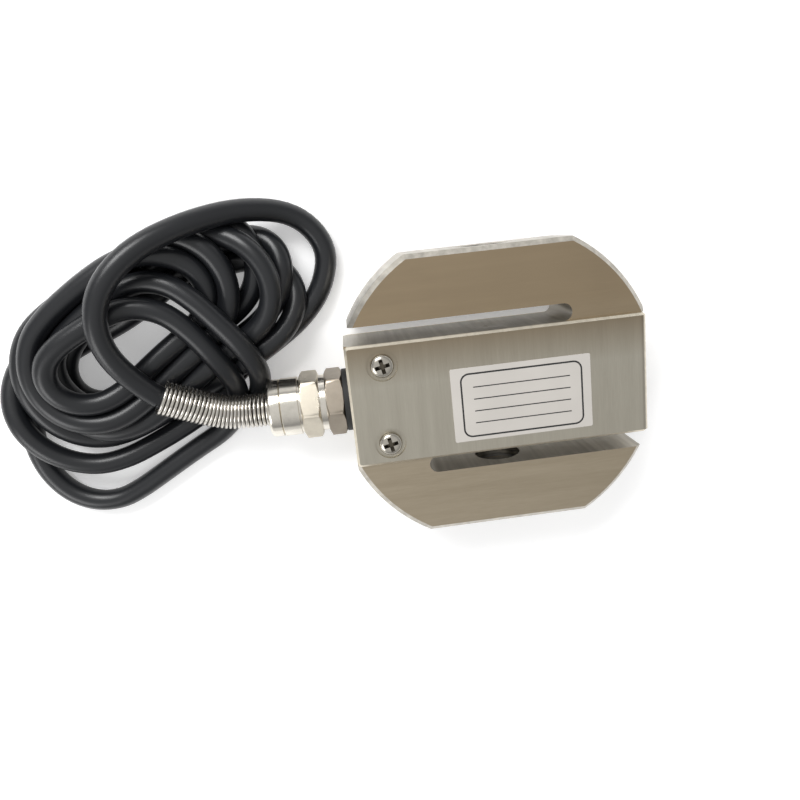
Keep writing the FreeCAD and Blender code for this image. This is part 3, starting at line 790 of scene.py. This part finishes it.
def build_gland():
    """Gland body and clamp nut, with chamfered hexagons, a neck and a grooved barrel."""
    near, far = WASHER_LOW.x, NUT_HIGH.x
    body = [(0, GLAND_BORE_R, None)] + hexagon(0.0, GLAND_HEX, GLAND_FLATS)
    body += [(GLAND_HEX, NECK_R, None), (near - far, NECK_R, None), (near - far, GLAND_BORE_R, None)]
    piece = turned_and_milled("gland_body_detail", body, near)
    place(piece, "gland_metal", MAT["gland_metal"], "gland_body")
    paint_hex_reflection(piece, body, BODY_HEX_PAINTED_REFLECTION)
    length = NUT_HIGH.x - NUT_LOW.x
    groove_r = BARREL_R - GROOVE_DEPTH
    nut = [(0, GLAND_BORE_R, None)] + hexagon(0.0, NUT_HEX, GLAND_FLATS)
    nut += [(NUT_HEX, groove_r, None), (NUT_HEX + GROOVE_WIDTH, groove_r, None)]
    nut += [(NUT_HEX + GROOVE_END, BARREL_R, None), (length - NUT_EDGE, BARREL_R, None)]
    nut += [(length, BARREL_R - NUT_EDGE, None), (length, GLAND_BORE_R, None)]
    piece = turned_and_milled("clamp_nut_detail", nut, far)
    place(piece, "gland_metal", MAT["gland_metal"], "clamp_nut")
    paint_hex_reflection(piece, nut, NUT_HEX_PAINTED_REFLECTION)


def build_threads(end, side):
    """Thread of a loading hole, as ridges on the wall of its bore."""
    turns = int(THREAD_DEPTH / THREAD_PITCH)
    end_of_last = THREAD_START + turns * THREAD_PITCH
    profile = [(THREAD_START, THREAD_ROOT_R + THREAD_BACK)]
    for k in range(turns):
        start = THREAD_START + k * THREAD_PITCH
        profile.append((start, THREAD_ROOT_R))
        profile += [(start + share * THREAD_PITCH, THREAD_CREST_R) for share in (0.42, 0.58)]
    profile += [(end_of_last, THREAD_ROOT_R), (end_of_last, THREAD_ROOT_R + THREAD_BACK)]
    ridges = lathe("thread_" + side, profile, (0, end, AXIS_Z), (0, -math.copysign(1, end), 0), 64)
    # The ridges take the painted shade of the hole.
    return place(ridges, "body", THREAD_PAINTED_SHADE)


def rounded_corners(width, height, radius, steps=8):
    """Outline of a rectangle with rounded corners, about the origin."""
    spots = []
    for turn, (sx, sy) in enumerate(((1, 1), (-1, 1), (-1, -1), (1, -1))):
        centre = Vector((sx * (width / 2 - radius), sy * (height / 2 - radius)))
        for k in range(steps + 1):
            angle = math.radians(90 * turn + 90 * k / steps)
            spots.append(centre + Vector((math.cos(angle), math.sin(angle))) * radius)
    return spots


def build_label_print():
    """Thin printed frame with plain ruled lines on the blank label."""
    middle = (LABEL_LOW + LABEL_HIGH) / 2
    centre = Vector((middle.x + FRAME_SHIFT[0], middle.y + FRAME_SHIFT[1]))
    heights = (LABEL_HIGH.z, LABEL_HIGH.z + INK_LIFT)
    width, height = FRAME_SIZE
    outside = rounded_corners(width, height, FRAME_CORNER_R)
    inside = rounded_corners(width - 2 * FRAME_LINE, height - 2 * FRAME_LINE, FRAME_CORNER_R - FRAME_LINE)
    count = len(outside)
    verts, faces = [], []
    for z in heights:
        for outline in (outside, inside):
            verts += [(centre.x + p.x, centre.y + p.y, z) for p in outline]
    low_out, low_in, high_out, high_in = (ring * count for ring in range(4))
    for k in range(count):
        n = (k + 1) % count
        for a, b in ((high_out, high_in), (low_out, low_in), (low_out, high_out), (low_in, high_in)):
            faces.append((a + k, a + n, b + n, b + k))
    for row in range(RULES):
        y = centre.y + RULE_TOP - RULE_PITCH * row
        base = len(verts)
        for z in heights:
            for sx, sy in ((-1, -1), (1, -1), (1, 1), (-1, 1)):
                verts.append((centre.x + sx * RULE_HALF_LENGTH, y + sy * RULE_HALF_WIDTH, z))
        for loop in ((0, 1, 2, 3), (4, 5, 6, 7), (0, 1, 5, 4), (1, 2, 6, 5), (2, 3, 7, 6), (3, 0, 4, 7)):
            faces.append(tuple(base + i for i in loop))
    piece = mesh_object("label_print", verts, faces, smooth=False)
    return place(piece, "label", INK)


# ---- Stage, light and camera ----
def seen_ray(tree):
    """1 for rays that show the background: from the camera, in a reflection, or through glass."""
    path = tree.nodes.new("ShaderNodeLightPath")
    total = path.outputs["Is Camera Ray"]
    for other in ("Is Glossy Ray", "Is Transmission Ray"):
        add = tree.nodes.new("ShaderNodeMath")
        add.operation = "MAXIMUM"
        tree.links.new(total, add.inputs[0])
        tree.links.new(path.outputs[other], add.inputs[1])
        total = add.outputs[0]
    return total


def build_stage():
    """Pale floor that shows white and keeps the object's shadow."""
    corners = [(sx * FLOOR_HALF, sy * FLOOR_HALF, 0) for sx, sy in ((-1, -1), (1, -1), (1, 1), (-1, 1))]
    floor = mesh_object("floor", corners, [(0, 1, 2, 3)], smooth=False)
    floor.location.z = -FLOOR_DROP
    mat, tree, bsdf = new_material("floor_white", (0.90, 0.90, 0.90), 0.8)
    bsdf.inputs["Specular IOR Level"].default_value = 0.1
    bsdf.inputs["Emission Color"].default_value = (1, 1, 1, 1)
    lift = tree.nodes.new("ShaderNodeMath")
    lift.operation = "MULTIPLY"
    lift.inputs[1].default_value = FLOOR_LIFT
    tree.links.new(seen_ray(tree), lift.inputs[0])
    tree.links.new(lift.outputs[0], bsdf.inputs["Emission Strength"])
    floor.data.materials.append(mat)


def area_light(name, place_at, target, size, power):
    """Soft rectangular light aimed at a point."""
    lamp = bpy.data.lights.new(name, "AREA")
    lamp.shape = "RECTANGLE"
    lamp.size, lamp.size_y = size
    lamp.energy = power
    obj = bpy.data.objects.new(name, lamp)
    bpy.context.scene.collection.objects.link(obj)
    obj.location = place_at
    obj.rotation_euler = (Vector(target) - Vector(place_at)).to_track_quat("-Z", "Y").to_euler()
    return obj


def build_world():
    """Studio room: pale walls at the horizon, darker above them, bright overhead."""
    world = bpy.data.worlds.new("studio")
    bpy.context.scene.world = world
    world.use_nodes = True
    tree = world.node_tree
    coord = tree.nodes.new("ShaderNodeTexCoord")
    split = tree.nodes.new("ShaderNodeSeparateXYZ")
    tree.links.new(coord.outputs["Generated"], split.inputs["Vector"])
    room = ramp(tree, split.outputs["Z"], [(0.22, (0.82, 0.82, 0.82)), (0.34, (0.26, 0.26, 0.265)),
                                           (0.48, (0.38, 0.38, 0.38)), (0.95, (0.74, 0.74, 0.74))])
    tree.links.new(room, tree.nodes["Background"].inputs["Color"])


def build_lights():
    """Studio room with two soft lamps: a key from the upper left, a fill from the lower left."""
    build_world()
    middle = (-0.03, 0, 0)
    area_light("key", (-0.22, 0.42, 0.42), middle, (0.30, 0.22), 2.6)
    area_light("fill", (-0.45, -0.30, 0.35), middle, (0.30, 0.30), 1.2)


def build_camera():
    """Camera fitted to the cell's corners in the photograph: above it, tipped a little from upright."""
    camera = bpy.data.cameras.new("camera")
    camera.sensor_width = 36.0
    camera.lens = 31.173
    camera.clip_start = 0.01
    camera.clip_end = 20.0
    obj = bpy.data.objects.new("camera", camera)
    bpy.context.scene.collection.objects.link(obj)
    right = Vector((0.99091039, -0.10571068, 0.0831978))
    up = Vector((0.12249792, 0.96465883, -0.23329723))
    back = -Vector((0.05559551, -0.24136821, -0.96883978))
    turn = Matrix((right, up, back)).transposed()
    spot = Vector((-29.6238, 35.7348, 159.875)) * MM
    obj.matrix_world = Matrix.Translation(spot) @ turn.to_4x4()
    bpy.context.scene.camera = obj


def main():
    """Dresses the part, adds its detail pieces and sets up the picture."""
    dress_cad_nodes()
    build_cable()
    build_spring()
    build_front_screw("cover_screw_front_upper")
    build_front_screw("cover_screw_front_lower")
    build_collar()
    build_gland()
    build_threads(BEAM_HIGH.y, "upper")
    build_threads(BEAM_LOW.y, "lower")
    build_label_print()
    build_stage()
    build_lights()
    build_camera()
    bpy.context.scene.view_settings.view_transform = "Standard"


main()
